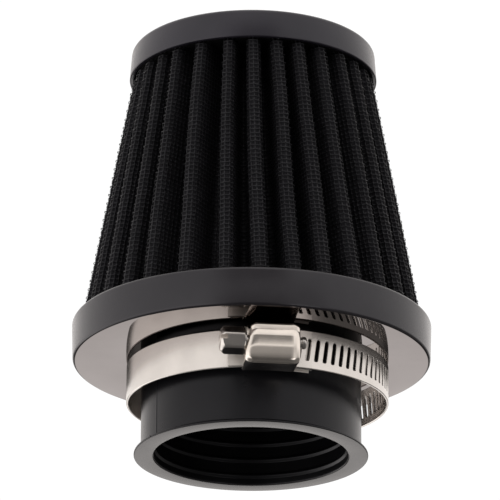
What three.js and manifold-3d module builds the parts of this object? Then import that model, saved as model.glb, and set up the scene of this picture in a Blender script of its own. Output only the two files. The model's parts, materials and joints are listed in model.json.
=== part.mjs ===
// Clamp-on cone air filter for a motorcycle carburettor: a pleated wire-mesh cone between a
// moulded end cap and a flanged base, a rubber neck, and a loose worm-drive band clamp on it.
// Millimetres, +Z up. The filter stands on its end cap: z = 0 is the cap's flat end, and the
// neck's open mouth is at the top.
import * as THREE from "three";
import { mergeVertices } from "three/addons/utils/BufferGeometryUtils.js";
import Module from "manifold-3d";

const wasm = await Module();
wasm.setup();

// ---------------------------------------------------------------- driving dimensions
const GAP = 0.3; // between pieces that touch on the real object
const ROUND_SIDES = 60;

const cap = {
  height: 8,
  endRadius: 32.1,
  rimRadius: 32.7,
  wall: 1.2,
  floor: 2.2,
  edge: 1.3,
  rimEdge: 0.3,
  draft: 0.5, // how much narrower the inside is at its floor
};

const flange = {
  bottom: 76,
  top: 86.15,
  lowRadius: 46.65,
  topRadius: 46.35,
  wall: 1.6,
  plate: 2.7,
  lowEdge: 0.7,
  topEdge: 0.5,
};

const pleats = {
  count: 30,
  bottom: cap.height + GAP,
  top: 78.6,
  outerAtCap: 32.5,
  outerAtBase: 44.3,
  depth: 9,
  ridgeCrown: 0.9, // how far a ridge's shoulders lie below its tip
  valleyCrown: 0.4,
  ridgeShare: 0.55, // ridge's share of one pitch, at its outer tip
  valleyShare: 0.3, // valley's share of one pitch, at its inner tip
  screen: 0.3, // thickness of each wire screen
  media: 0.5, // thickness of the cotton pressed between them
  layerGap: 0.2,
};

const neck = {
  bottom: 79.3,
  mouth: 111.5,
  bore: 25,
  radius: 28.4,
  lipRadius: 30.2,
  lipHeight: 1,
  lipEdge: 0.2,
  boreEdge: 0.3,
  flare: 1.5,
  ribHeight: 0.5,
  ribWidth: 1,
  ribDepths: [2.6, 6.9, 11.2, 15.5],
};

const band = {
  width: 10,
  thickness: 0.6,
  innerRadius: 32.7, // of the layer that runs through the housing
  overlapRise: 1.2, // how much further out the free tail runs
  riseFrom: 20,
  riseTo: 345, // degrees round from the housing's centre
  footAt: -18, // fixed end, under the housing
  firstHinge: 12,
  linkAngle: 24.5,
  links: 15,
  tailAt: 379, // free end, after a full turn
  endNarrowing: 1.6, // each edge, where the band's two ends are trimmed
  slotsPerLink: 6,
  slottedLinks: 6,
  slotWidth: 1.05,
  slotLength: 5.8,
  slotSlant: 8,
};

const housing = {
  length: 14.7,
  width: 11.6,
  top: 42.55, // from the clamp's centre
  shoulder: 36.6,
  wall: 0.5,
  crown: 0.7,
  endWall: 0.8,
};

const screw = {
  axis: 38.3, // from the clamp's centre
  crest: 3.3,
  root: 2.5,
  pitch: 2.39,
  journal: 2.1,
  collar: 3.75,
  collarLength: 0.8,
  hexAcrossFlats: 6.35,
  hexLength: 6.5,
  hexEdge: 0.5,
  driverSlot: 1.1,
  stub: 1.9,
  endPlay: 0.35,
};

const saddle = { innerRadius: 31.9, thickness: 0.5, from: -18.5, to: 13, endNarrowing: 1.5 };

const clampPlace = { x: -1.23, y: 1.4, z: 92.05, tilt: -1, turn: -6.7 };

// ---------------------------------------------------------------- materials
const finish = (color, roughness, metalness) =>
  new THREE.MeshStandardMaterial({ color, roughness, metalness });
const capPlastic = finish(0x34343a, 0.5, 0);
const flangePlastic = finish(0x37353a, 0.3, 0.1);
const neckRubber = finish(0x1c1c20, 0.55, 0);
const potting = finish(0x202022, 0.7, 0);
const wireScreen = finish(0x17181a, 0.5, 0.4);
const cotton = finish(0x2a2a2c, 0.95, 0);
const stainless = finish(0xc9c6c1, 0.25, 1);

// ---------------------------------------------------------------- geometry helpers
const rad = THREE.MathUtils.degToRad;

/** A closed geometry from rings of points of equal count, joined in order, with flat ends. */
function ringsGeometry(rings, closedLoop = false) {
  const count = rings[0].length;
  const vertices = rings.flat();
  const triangles = [];
  const quad = (a, b, c, d) => {
    const splitAC = vertices[a].distanceTo(vertices[c]) <= vertices[b].distanceTo(vertices[d]);
    triangles.push(...(splitAC ? [a, b, c, a, c, d] : [a, b, d, b, c, d]));
  };
  const last = closedLoop ? rings.length : rings.length - 1;
  for (let i = 0; i < last; i++) {
    const next = (i + 1) % rings.length;
    for (let k = 0; k < count; k++) {
      const k2 = (k + 1) % count;
      quad(i * count + k, i * count + k2, next * count + k2, next * count + k);
    }
  }
  if (!closedLoop) {
    const ends = [[0, 1], [rings.length - 1, 0]];
    for (const [ring, flipped] of ends) {
      const centre = vertices.length;
      const middle = rings[ring].reduce((sum, p) => sum.add(p), new THREE.Vector3());
      vertices.push(middle.divideScalar(count));
      for (let k = 0; k < count; k++) {
        const a = ring * count + k;
        const b = ring * count + ((k + 1) % count);
        triangles.push(centre, flipped ? b : a, flipped ? a : b);
      }
    }
  }
  const geometry = new THREE.BufferGeometry().setFromPoints(vertices);
  geometry.setIndex(triangles);
  return geometry;
}

/** A ring turned about Z from a closed outline of [radius, z] points, listed anticlockwise. */
function turned(outline) {
  const points = [...outline, outline[0]].map(([r, z]) => new THREE.Vector2(r, z));
  return new THREE.LatheGeometry(points, ROUND_SIDES).rotateX(Math.PI / 2);
}

/** Points on a rounded corner, centre (r, z), from angle a to angle b in degrees. */
function corner(r, z, radius, a, b, steps = 3) {
  const points = [];
  for (let i = 0; i <= steps; i++) {
    const angle = rad(a + ((b - a) * i) / steps);
    points.push([r + radius * Math.cos(angle), z + radius * Math.sin(angle)]);
  }
  return points;
}

function toSolid(geometry) {
  const clean = geometry.clone();
  clean.deleteAttribute("normal");
  clean.deleteAttribute("uv");
  const merged = mergeVertices(clean, 1e-4);
  return new wasm.Manifold(
    new wasm.Mesh({
      numProp: 3,
      vertProperties: new Float32Array(merged.attributes.position.array),
      triVerts: new Uint32Array(merged.index.array),
    }),
  );
}

function fromSolid(solid) {
  const mesh = solid.getMesh();
  const geometry = new THREE.BufferGeometry();
  geometry.setAttribute("position", new THREE.BufferAttribute(mesh.vertProperties, 3));
  geometry.setIndex(new THREE.BufferAttribute(mesh.triVerts, 1));
  return geometry;
}

const cut = (geometry, ...tools) =>
  fromSolid(tools.reduce((solid, tool) => solid.subtract(toSolid(tool)), toSolid(geometry)));

function piece(name, geometry, material) {
  geometry.computeVertexNormals();
  const mesh = new THREE.Mesh(geometry, material);
  mesh.name = name;
  return mesh;
}

// ---------------------------------------------------------------- filter: moulded pieces
function endCapGeometry() {
  const innerRim = cap.rimRadius - cap.wall;
  const innerFloor = innerRim - cap.draft;
  return turned([
    [0, 0],
    ...corner(cap.endRadius - cap.edge, cap.edge, cap.edge, -90, 0),
    [cap.rimRadius, cap.height - cap.rimEdge],
    [cap.rimRadius - cap.rimEdge, cap.height],
    [innerRim, cap.height],
    [innerFloor, cap.floor],
    [0, cap.floor],
  ]);
}

function capPottingGeometry() {
  const innerRim = cap.rimRadius - cap.wall;
  return turned([
    [0, cap.floor + GAP],
    [innerRim - cap.draft - GAP, cap.floor + GAP],
    [innerRim - GAP, cap.height - 0.1],
    [0, cap.height - 0.1],
  ]);
}

function baseFlangeGeometry() {
  const hole = neck.radius + GAP;
  const plateUnder = flange.top - flange.plate;
  const { lowEdge, topEdge } = flange;
  return turned([
    [hole, plateUnder],
    [flange.topRadius - flange.wall, plateUnder],
    [flange.lowRadius - flange.wall, flange.bottom],
    ...corner(flange.lowRadius - lowEdge, flange.bottom + lowEdge, lowEdge, -90, 0, 2),
    ...corner(flange.topRadius - topEdge, flange.top - topEdge, topEdge, 0, 90, 2),
    [hole, flange.top],
  ]);
}

function basePottingGeometry() {
  const under = flange.top - flange.plate - GAP;
  const inner = neck.radius + GAP;
  const outer = flange.topRadius - flange.wall - GAP;
  return turned([
    [inner, pleats.top + GAP],
    [outer, pleats.top + GAP],
    [outer, under],
    [inner, under],
  ]);
}

function neckSleeveGeometry() {
  const lipStart = neck.mouth - neck.lipHeight - neck.flare;
  const ribs = neck.ribDepths.flatMap((depth) => {
    const z = neck.mouth - depth;
    return [
      [neck.bore, z + neck.ribWidth / 2],
      [neck.bore - neck.ribHeight, z],
      [neck.bore, z - neck.ribWidth / 2],
    ];
  });
  return turned([
    [neck.bore, neck.bottom],
    [neck.radius, neck.bottom],
    [neck.radius, lipStart],
    [neck.lipRadius, lipStart + neck.flare],
    [neck.lipRadius, neck.mouth - neck.lipEdge],
    [neck.lipRadius - neck.lipEdge, neck.mouth],
    [neck.bore + neck.boreEdge, neck.mouth],
    [neck.bore, neck.mouth - neck.boreEdge],
    ...ribs,
  ]);
}

// ---------------------------------------------------------------- filter: pleated layers
/** The pleated element's outer outline at a height, anticlockwise. */
function pleatLoop(z) {
  const along = (z - pleats.bottom) / (pleats.top - pleats.bottom);
  const tip = THREE.MathUtils.lerp(pleats.outerAtCap, pleats.outerAtBase, along);
  const pitch = 360 / pleats.count;
  const ridge = (pleats.ridgeShare * pitch) / 2;
  const valley = (pleats.valleyShare * pitch) / 2;
  const profile = [
    [-ridge, tip - pleats.ridgeCrown],
    [0, tip],
    [ridge, tip - pleats.ridgeCrown],
    [pitch / 2 - valley, tip - pleats.depth + pleats.valleyCrown],
    [pitch / 2, tip - pleats.depth],
    [pitch / 2 + valley, tip - pleats.depth + pleats.valleyCrown],
  ];
  const loop = [];
  for (let i = 0; i < pleats.count; i++) {
    for (const [angle, radius] of profile) {
      const at = rad(i * pitch + angle - 90);
      loop.push(new THREE.Vector3(radius * Math.cos(at), radius * Math.sin(at), z));
    }
  }
  return loop;
}

/** The same loop moved in by a distance, square to each of its sides. */
function insetLoop(loop, distance) {
  const inward = (from, to) => new THREE.Vector3(from.y - to.y, to.x - from.x, 0).normalize();
  return loop.map((point, k) => {
    const before = inward(loop.at(k - 1), point);
    const after = inward(point, loop[(k + 1) % loop.length]);
    const middle = before.clone().add(after).normalize();
    return point.clone().addScaledVector(middle, distance / middle.dot(before));
  });
}

/** A pleated wall of a thickness, set in from the element's outer surface. */
function pleatedGeometry(inset, thickness) {
  const low = pleatLoop(pleats.bottom);
  const high = pleatLoop(pleats.top);
  const rings = [
    insetLoop(low, inset),
    insetLoop(high, inset),
    insetLoop(high, inset + thickness),
    insetLoop(low, inset + thickness),
  ];
  return ringsGeometry(rings, true);
}

const mediaInset = pleats.screen + pleats.layerGap;
const innerInset = mediaInset + pleats.media + pleats.layerGap;

const filter = new THREE.Group();
filter.add(
  piece("end_cap", endCapGeometry(), capPlastic),
  piece("cap_potting", capPottingGeometry(), potting),
  piece("outer_screen", pleatedGeometry(0, pleats.screen), wireScreen),
  piece("filter_media", pleatedGeometry(mediaInset, pleats.media), cotton),
  piece("inner_screen", pleatedGeometry(innerInset, pleats.screen), wireScreen),
  piece("base_potting", basePottingGeometry(), potting),
  piece("base_flange", baseFlangeGeometry(), flangePlastic),
  piece("neck_sleeve", neckSleeveGeometry(), neckRubber),
);

// ---------------------------------------------------------------- clamp
// In the clamp's own frame the band's centre is the origin, its axis is Z, and the housing is
// towards -Y. Angles run anticlockwise seen from +Z, from the housing's centre.

/** Inner radius of the band at an angle: it winds out a little, so its tail clears its start. */
function bandRadius(angle) {
  const share = (angle - band.riseFrom) / (band.riseTo - band.riseFrom);
  return band.innerRadius + band.overlapRise * THREE.MathUtils.clamp(share, 0, 1);
}

const around = (radius, angle, z) =>
  new THREE.Vector3(radius * Math.sin(rad(angle)), -radius * Math.cos(rad(angle)), z);

/** A bent strip from one angle to another, with a radius that may change along it. */
function strip(from, to, radiusAt, thickness, halfWidth, endNarrowing = [0, 0]) {
  const steps = Math.max(2, Math.round((to - from) / 4));
  const rings = [];
  for (let i = 0; i <= steps; i++) {
    const angle = from + ((to - from) * i) / steps;
    const narrow = i === 0 ? endNarrowing[0] : i === steps ? endNarrowing[1] : 0;
    const half = halfWidth - narrow;
    const inner = radiusAt(angle);
    rings.push([
      around(inner, angle, -half),
      around(inner, angle, half),
      around(inner + thickness, angle, half),
      around(inner + thickness, angle, -half),
    ]);
  }
  return ringsGeometry(rings);
}

/** Box that cuts one slanted slot through the band. */
function slotCutter(angle) {
  const cutter = new THREE.BoxGeometry(band.slotWidth, 4 * band.thickness, band.slotLength);
  cutter.rotateY(rad(band.slotSlant));
  const middle = bandRadius(angle) + band.thickness / 2;
  return cutter.rotateZ(rad(angle)).translate(...around(middle, angle, 0));
}

function bandLinkGeometry(index) {
  const from = band.firstHinge + (index - 1) * band.linkAngle;
  const isTail = index === band.links;
  const to = isTail ? band.tailAt : from + band.linkAngle;
  const gapAngle = THREE.MathUtils.radToDeg(GAP / 2 / band.innerRadius);
  const end = isTail ? to : to - gapAngle;
  const narrowing = [0, isTail ? band.endNarrowing : 0];
  const half = band.width / 2;
  const link = strip(from + gapAngle, end, bandRadius, band.thickness, half, narrowing);
  if (index <= band.links - band.slottedLinks) {
    return link;
  }
  const pitch = band.linkAngle / band.slotsPerLink;
  const cutters = [];
  for (let k = 0; k < band.slotsPerLink; k++) {
    cutters.push(slotCutter(from + (k + 0.5) * pitch));
  }
  return cut(link, ...cutters);
}

function bandFootGeometry() {
  const gapAngle = THREE.MathUtils.radToDeg(GAP / 2 / band.innerRadius);
  const end = band.firstHinge - gapAngle;
  const narrowing = [band.endNarrowing, 0];
  return strip(band.footAt, end, bandRadius, band.thickness, band.width / 2, narrowing);
}

/** Outline of the housing's arch across the band: straight sides under a half-ellipse. */
function archShape(halfWidth, shoulder, top, foot) {
  const shape = new THREE.Shape();
  shape.moveTo(-halfWidth, foot);
  shape.lineTo(halfWidth, foot);
  shape.lineTo(halfWidth, shoulder);
  shape.absellipse(0, shoulder, halfWidth, top - shoulder, 0, Math.PI, false);
  shape.lineTo(-halfWidth, foot);
  return shape;
}

/** A shape drawn across the band (x across, y away from the clamp's centre), run along it. */
function alongBand(shape, length) {
  const settings = { depth: length, bevelEnabled: false, curveSegments: 10 };
  const geometry = new THREE.ExtrudeGeometry(shape, settings);
  const toClamp = new THREE.Matrix4().makeBasis(
    new THREE.Vector3(0, 0, 1),
    new THREE.Vector3(0, -1, 0),
    new THREE.Vector3(1, 0, 0),
  );
  return geometry.translate(0, 0, -length / 2).applyMatrix4(toClamp);
}

function housingGeometry() {
  const half = housing.width / 2;
  const foot = band.innerRadius - 2.5;
  const outer = alongBand(archShape(half, housing.shoulder, housing.top, foot), housing.length);
  const roof = housing.top - housing.crown;
  const chamber = archShape(half - housing.wall, housing.shoulder, roof, foot - 1);
  const tunnelTop = band.innerRadius + band.overlapRise + band.thickness + GAP;
  const tunnel = new THREE.BoxGeometry(housing.length + 2, 6, 2 * (half - housing.wall));
  tunnel.translate(0, -(tunnelTop - 3), 0);
  const { innerRadius } = band;
  const under = new THREE.CylinderGeometry(innerRadius, innerRadius, 2 * housing.width, 90);
  const boreRadius = screw.journal + GAP;
  const bore = new THREE.CylinderGeometry(boreRadius, boreRadius, 2 * housing.length, 24);
  return cut(
    outer,
    alongBand(chamber, housing.length - 2 * housing.endWall),
    tunnel,
    under.rotateX(Math.PI / 2),
    bore.rotateZ(Math.PI / 2).translate(0, -screw.axis, 0),
  );
}

function saddleGeometry() {
  const { from, to, innerRadius, thickness, endNarrowing } = saddle;
  return strip(from, to, () => innerRadius, thickness, housing.width / 2, [endNarrowing, 0]);
}

/** The worm screw lies along the band. Each row is one section at x, seen along the screw. */
function wormScrewGeometry() {
  const sides = 24;
  const rings = [];
  const row = (x, radiusAt) => {
    const ring = [];
    for (let k = 0; k < sides; k++) {
      const turn = (k / sides) * 2 * Math.PI;
      const radius = radiusAt(turn);
      ring.push(new THREE.Vector3(x, radius * Math.cos(turn), radius * Math.sin(turn)));
    }
    rings.push(ring);
  };
  const round = (radius) => () => radius;
  const hex = (shrink) => (turn) => {
    const inFlat = ((turn + Math.PI / 6) % (Math.PI / 3)) - Math.PI / 6;
    return (screw.hexAcrossFlats / 2 - shrink) / Math.cos(inFlat);
  };
  const thread = (x) => (turn) => {
    const phase = (((x / screw.pitch - turn / (2 * Math.PI)) % 1) + 1) % 1;
    const rise = THREE.MathUtils.clamp(1.5 - 5 * Math.abs(phase - 0.5), 0, 1);
    return screw.root + (screw.crest - screw.root) * rise;
  };
  const end = housing.length / 2;
  const wormEnd = end - housing.endWall - screw.endPlay;
  row(-end - screw.stub, round(screw.journal - 0.4));
  row(-end - screw.stub + 0.4, round(screw.journal));
  row(-wormEnd, round(screw.journal));
  const rows = Math.round((2 * wormEnd) / (screw.pitch / 6));
  for (let i = 0; i <= rows; i++) {
    const x = -wormEnd + 0.02 + ((2 * wormEnd - 0.04) * i) / rows;
    row(x, thread(x));
  }
  row(wormEnd, round(screw.journal));
  const collarAt = end + GAP;
  const hexAt = collarAt + screw.collarLength;
  const headEnd = hexAt + screw.hexLength;
  const step = 0.01; // a section's change of shape, along the screw
  row(collarAt, round(screw.journal));
  row(collarAt + step, round(screw.collar));
  row(hexAt, round(screw.collar - 0.1));
  row(hexAt + step, hex(0));
  row(headEnd - screw.hexEdge, hex(0));
  row(headEnd, hex(screw.hexEdge - 0.05));
  const slot = new THREE.BoxGeometry(3.2, 10, screw.driverSlot).translate(headEnd, 0, 0);
  return cut(ringsGeometry(rings), slot).translate(0, -screw.axis, 0);
}

const clamp = new THREE.Group();
clamp.position.set(clampPlace.x, clampPlace.y, clampPlace.z);
clamp.rotation.set(rad(clampPlace.tilt), 0, rad(clampPlace.turn));
clamp.add(
  piece("clamp_housing", housingGeometry(), stainless),
  piece("clamp_saddle", saddleGeometry(), stainless),
  piece("worm_screw", wormScrewGeometry(), stainless),
  piece("band_foot", bandFootGeometry(), stainless),
);
for (let index = 1; index <= band.links; index++) {
  const name = `band_link_${String(index).padStart(2, "0")}`;
  clamp.add(piece(name, bandLinkGeometry(index), stainless));
}

const airFilter = new THREE.Group();
airFilter.add(filter, clamp);
export default airFilter;
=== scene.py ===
# Clamp-on cone air filter, standing on its end cap, seen as the photograph shows it.
# Lengths are in millimetres until a mesh is made, which turns them into metres.
import json
import math
import random

import bpy
import numpy as np
from mathutils import Matrix, Vector


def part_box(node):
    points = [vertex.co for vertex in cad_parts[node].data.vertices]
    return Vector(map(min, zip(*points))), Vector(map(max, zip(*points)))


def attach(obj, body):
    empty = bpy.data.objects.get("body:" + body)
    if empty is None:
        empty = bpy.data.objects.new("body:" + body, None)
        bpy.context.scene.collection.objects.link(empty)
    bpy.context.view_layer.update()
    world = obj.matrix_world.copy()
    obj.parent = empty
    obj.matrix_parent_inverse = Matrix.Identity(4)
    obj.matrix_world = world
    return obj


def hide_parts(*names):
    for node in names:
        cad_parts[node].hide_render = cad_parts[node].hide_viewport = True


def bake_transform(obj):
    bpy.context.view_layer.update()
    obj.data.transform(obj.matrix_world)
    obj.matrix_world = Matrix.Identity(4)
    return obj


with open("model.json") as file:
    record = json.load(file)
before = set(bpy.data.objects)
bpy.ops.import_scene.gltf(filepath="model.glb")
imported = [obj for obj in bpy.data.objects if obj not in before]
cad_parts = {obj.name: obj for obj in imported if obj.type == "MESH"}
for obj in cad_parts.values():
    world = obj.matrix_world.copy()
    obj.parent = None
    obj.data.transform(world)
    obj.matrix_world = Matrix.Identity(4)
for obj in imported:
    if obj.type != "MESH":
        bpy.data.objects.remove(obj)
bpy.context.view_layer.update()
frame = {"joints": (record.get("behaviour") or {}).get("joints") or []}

MM = 0.001
rng = random.Random(20)


# ------------------------------------------------------------------ sizes, from the frame
def span(node):
    """A CAD node's lowest z, highest z and largest radius about the filter's axis, in mm."""
    low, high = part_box(node)
    return low[2] / MM, high[2] / MM, high[0] / MM


def joint(name):
    return next(j for j in frame["joints"] if j["name"] == name)


_, CAP_TOP, CAP_RADIUS = span("end_cap")
FLANGE_LOW, FLANGE_TOP, FLANGE_RADIUS = span("base_flange")
NECK_LOW, NECK_MOUTH, LIP_RADIUS = span("neck_sleeve")
PLEAT_LOW, PLEAT_TOP, PLEAT_RADIUS = span("outer_screen")

CAP_TAPER = 0.6  # the cap's end is this much smaller than its rim
CAP_WALL = 1.2
CAP_FLOOR = 2.2
FLANGE_TAPER = 0.3
FLANGE_WALL = 1.6
FLANGE_PLATE = 2.7
NECK_RADIUS = 28.4
BORE = 25.0
RIB_DEPTHS = (2.6, 6.9, 11.2, 15.5)  # from the neck's mouth
RIB_HEIGHT = 0.5
MOULD_LINE = math.atan2(-15.0, 24.1)  # direction of the neck's parting line

PLEATS = 30
PLEAT_DEPTH = 10.0
PLEAT_FOOT = 32.0  # radius of the pleats' tips at the cap
PLEAT_FULLER = 0.95  # how far the tips stand outside the CAD's at the flange
COLUMNS_PER_PLEAT = 18
MESH_ROWS = 60

SCREW_RADIUS = 38.3  # screw's axis from the clamp's centre
BAND_INNER = 32.7
BAND_THICK = 0.6
BAND_HALF = 5.0
BAND_RISE = 1.2  # how much farther out the band's tail lies than its start
# Places along the band are in degrees round the clamp, from the middle of the housing.
RISE_FROM, RISE_TO = 20.0, 345.0
BAND_FOOT, BAND_TAIL = -18.0, 378.8
FIRST_HINGE, LINK_ANGLE = 12.0, 24.5
LINKS, SLOTTED_LINKS, SLOTS_PER_LINK = 15, 6, 6
TAIL_TWIST = 0.05  # change of radius for each mm across the band


# ------------------------------------------------------------------ mesh helpers
def clipped(share):
    return min(max(share, 0), 1)


def build(name, points, faces, sharp=35.0, uv=None):
    """A mesh object from points in mm. uv, if given, is one (u, v) for each point."""
    mesh = bpy.data.meshes.new(name)
    mesh.from_pydata([tuple(c * MM for c in p) for p in points], [], faces)
    mesh.validate()
    if uv is not None:
        layer = mesh.uv_layers.new(name="Surface")
        for loop in mesh.loops:
            layer.data[loop.index].uv = uv[loop.vertex_index]
    mesh.shade_smooth()
    if sharp:
        mesh.set_sharp_from_angle(angle=math.radians(sharp))
    obj = bpy.data.objects.new(name, mesh)
    bpy.context.scene.collection.objects.link(obj)
    return obj


def fillet(corners, steps=6):
    """A closed outline with rounded corners, from (r, z, radius) corners."""
    outline = []
    count = len(corners)
    for k, (r, z, radius) in enumerate(corners):
        here = Vector((r, z))
        if radius <= 0:
            outline.append((r, z))
            continue
        before = (Vector(corners[k - 1][:2]) - here).normalized()
        after = (Vector(corners[(k + 1) % count][:2]) - here).normalized()
        half = before.angle(after) / 2
        reach = radius / math.tan(half)
        centre = here + (before + after).normalized() * radius / math.sin(half)
        start = here + before * reach - centre
        turn = (here + after * reach - centre).angle_signed(start)
        for i in range(steps + 1):
            c, s = math.cos(turn * i / steps), math.sin(turn * i / steps)
            x, y = c * start.x - s * start.y, s * start.x + c * start.y
            outline.append((centre.x + x, centre.y + y))
    return outline


def without_repeats(corners):
    return [c for n, c in enumerate(corners) if c not in corners[:n]]


def lathe(name, outline, angles, bump=None, sharp=35.0):
    """Turns a closed outline of (r, z) about Z. bump(angle, r, z) is added to the radius."""
    points, faces = [], []
    rows = []
    for r, z in outline:
        if r < 1e-6:
            rows.append([len(points)] * len(angles))
            points.append((0, 0, z))
            continue
        rows.append(list(range(len(points), len(points) + len(angles))))
        for a in angles:
            reach = r + (bump(a, r, z) if bump else 0)
            points.append((reach * math.cos(a), reach * math.sin(a), z))
    for i, row in enumerate(rows):
        following = rows[(i + 1) % len(rows)]
        for k in range(len(angles)):
            k2 = (k + 1) % len(angles)
            face = without_repeats([row[k], row[k2], following[k2], following[k]])
            if len(face) > 2:
                faces.append(face)
    return build(name, points, faces, sharp)


def circle(count=192):
    return [2 * math.pi * k / count for k in range(count)]


def apply_modifiers(obj):
    depsgraph = bpy.context.evaluated_depsgraph_get()
    mesh = bpy.data.meshes.new_from_object(obj.evaluated_get(depsgraph))
    obj.modifiers.clear()
    obj.data = mesh


# ------------------------------------------------------------------ material helpers
def set_stops(ramp, stops):
    """Gives a colour ramp its stops, each a place from 0 to 1 and a colour."""
    elements = ramp.color_ramp.elements
    while len(elements) < len(stops):
        elements.new(0.5)
    for element, (place, colour) in zip(elements, stops):
        element.position = place
        element.color = (*colour, 1)


class Nodes:
    """A material's node tree, with short ways to add what these materials use."""

    def __init__(self, name):
        self.material = bpy.data.materials.new(name)
        self.material.use_nodes = True
        self.tree = self.material.node_tree
        self.shader = self.tree.nodes["Principled BSDF"]

    def add(self, kind, **values):
        node = self.tree.nodes.new(kind)
        for key, value in values.items():
            node.inputs[key].default_value = value
        return node

    def link(self, source, target):
        self.tree.links.new(source, target)

    def feed(self, name, source):
        """Links a value to one of the shader's own inputs."""
        self.link(source, self.shader.inputs[name])

    def noise(self, vector, scale, detail=3.0, roughness=0.55):
        node = self.add("ShaderNodeTexNoise", Scale=scale, Detail=detail, Roughness=roughness)
        self.link(vector, node.inputs["Vector"])
        return node.outputs["Fac"]

    def stretched(self, source, scale):
        node = self.add("ShaderNodeMapping", Scale=scale)
        self.link(source, node.inputs["Vector"])
        return node.outputs["Vector"]

    def spread(self, fac, low, high):
        """Maps a 0-1 value to low-high."""
        node = self.add("ShaderNodeMapRange", **{"To Min": low, "To Max": high})
        self.link(fac, node.inputs["Value"])
        return node.outputs["Result"]

    def ramp(self, fac, *stops):
        node = self.add("ShaderNodeValToRGB")
        set_stops(node, stops)
        self.link(fac, node.inputs["Fac"])
        return node.outputs["Color"]

    def bump(self, height, strength, distance):
        node = self.add("ShaderNodeBump", Strength=strength, Distance=distance)
        self.link(height, node.inputs["Height"])
        self.feed("Normal", node.outputs["Normal"])

    def set(self, **values):
        for key, value in values.items():
            self.shader.inputs[key.replace("_", " ")].default_value = value


def object_place(nodes):
    return nodes.add("ShaderNodeTexCoord").outputs["Object"]


COOL_SHEEN = (0.92, 0.94, 1.0, 1)


def moulded(name, dark, light, rough, grain, specular):
    """Moulded plastic or rubber: faint colour clouds, uneven gloss and a fine grain."""
    nodes = Nodes(name)
    place = object_place(nodes)
    clouds = nodes.noise(place, 60.0, 4.0)
    nodes.feed("Base Color", nodes.ramp(clouds, (0.35, dark), (0.7, light)))
    nodes.feed("Roughness", nodes.spread(nodes.noise(place, 160.0, 5.0), *rough))
    nodes.bump(nodes.noise(place, 2600.0, 4.0, 0.7), grain, 0.00008)
    nodes.set(Specular_IOR_Level=specular, Specular_Tint=COOL_SHEEN)
    return nodes.material


def polished_face():
    """The flange's face: dark polished plating."""
    nodes = Nodes("polished_face")
    place = object_place(nodes)
    clouds = nodes.noise(place, 120.0, 3.0)
    colour = nodes.ramp(clouds, (0.3, (0.25, 0.228, 0.224)), (0.7, (0.27, 0.246, 0.242)))
    nodes.feed("Base Color", colour)
    nodes.set(Metallic=1.0)
    nodes.feed("Roughness", nodes.spread(nodes.noise(place, 90.0, 4.0), 0.015, 0.05))
    nodes.bump(nodes.noise(place, 35.0, 2.0), 0.05, 0.0003)
    return nodes.material


def lip_face():
    """The neck lip's end face: smoother than the rest of the rubber, with a soft gloss."""
    nodes = Nodes("lip_face")
    place = object_place(nodes)
    nodes.set(Base_Color=(0.03, 0.028, 0.029, 1), IOR=1.64)
    nodes.feed("Roughness", nodes.spread(nodes.noise(place, 120.0, 5.0), 0.16, 0.26))
    nodes.bump(nodes.noise(place, 1400.0, 3.0), 0.12, 0.00005)
    return nodes.material


def coated_wire():
    """Black epoxy-coated wire."""
    nodes = Nodes("coated_wire")
    place = object_place(nodes)
    clouds = nodes.noise(place, 260.0, 4.0)
    colour = nodes.ramp(clouds, (0.3, (0.004, 0.004, 0.005)), (0.75, (0.013, 0.013, 0.0155)))
    nodes.feed("Base Color", colour)
    nodes.feed("Roughness", nodes.spread(nodes.noise(place, 900.0), 0.4, 0.66))
    nodes.set(Specular_IOR_Level=0.27, Specular_Tint=COOL_SHEEN)
    nodes.bump(nodes.noise(place, 5200.0, 3.0), 0.3, 0.00005)
    return nodes.material


def cotton_gauze():
    """Oiled cotton with a coarse upright weave."""
    nodes = Nodes("cotton_gauze")
    place = object_place(nodes)
    weave = nodes.noise(nodes.stretched(place, (1.0, 1.0, 0.35)), 2400.0, 3.0)
    colour = nodes.ramp(weave, (0.3, (0.007, 0.007, 0.0085)), (0.8, (0.018, 0.018, 0.021)))
    nodes.feed("Base Color", colour)
    nodes.set(Roughness=0.95, Specular_IOR_Level=0.1)
    nodes.bump(weave, 0.5, 0.0002)
    return nodes.material


def rolled_steel(name, along, rough, tint, scratches=0.06):
    """Bright stainless. along scales the place so that the rolling marks are long one way; with a
    third value of 0 it scales the piece's surface map."""
    nodes = Nodes(name)
    place = nodes.add("ShaderNodeTexCoord").outputs["UV" if along[2] == 0 else "Object"]
    lines = nodes.noise(nodes.stretched(place, along), 1.0, 6.0, 0.7)
    clouds = nodes.noise(object_place(nodes), 140.0, 3.0)
    darker = tuple(0.9 * c for c in tint)
    nodes.feed("Base Color", nodes.ramp(clouds, (0.3, darker), (0.7, tint)))
    nodes.feed("Roughness", nodes.spread(lines, *rough))
    nodes.bump(lines, scratches, 0.00003)
    nodes.set(Metallic=1.0)
    return nodes.material


CAP_PLASTIC = moulded(
    "cap_plastic", (0.015, 0.0135, 0.019), (0.021, 0.019, 0.026), (0.2, 0.3), 0.3, 0.45
)
RIM_PLASTIC = moulded(
    "rim_plastic", (0.015, 0.0135, 0.016), (0.022, 0.020, 0.023), (0.16, 0.25), 0.22, 0.44
)
NECK_RUBBER = moulded(
    "neck_rubber", (0.004, 0.004, 0.005), (0.0075, 0.0075, 0.009), (0.24, 0.34), 0.3, 0.25
)
# Painted shade: a darker copy of the neck rubber for the inside of the neck, darkened as if
# little light reached it.
SHADED_BORE_RUBBER = moulded(
    "bore_rubber_painted_shade", (0.002, 0.002, 0.0024), (0.004, 0.004, 0.0048), (0.26, 0.36), 0.2, 0.3
)
POTTING = moulded("potting", (0.006, 0.006, 0.006), (0.012, 0.012, 0.012), (0.5, 0.7), 0.6, 0.3)
POLISHED = polished_face()
LIP_FACE = lip_face()
WIRE = coated_wire()
COTTON = cotton_gauze()
ALONG_BAND = (0.6, 90.0, 0.0)
BAND_STEEL = rolled_steel("band_steel", ALONG_BAND, (0.2, 0.3), (0.72, 0.69, 0.655))
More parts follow.
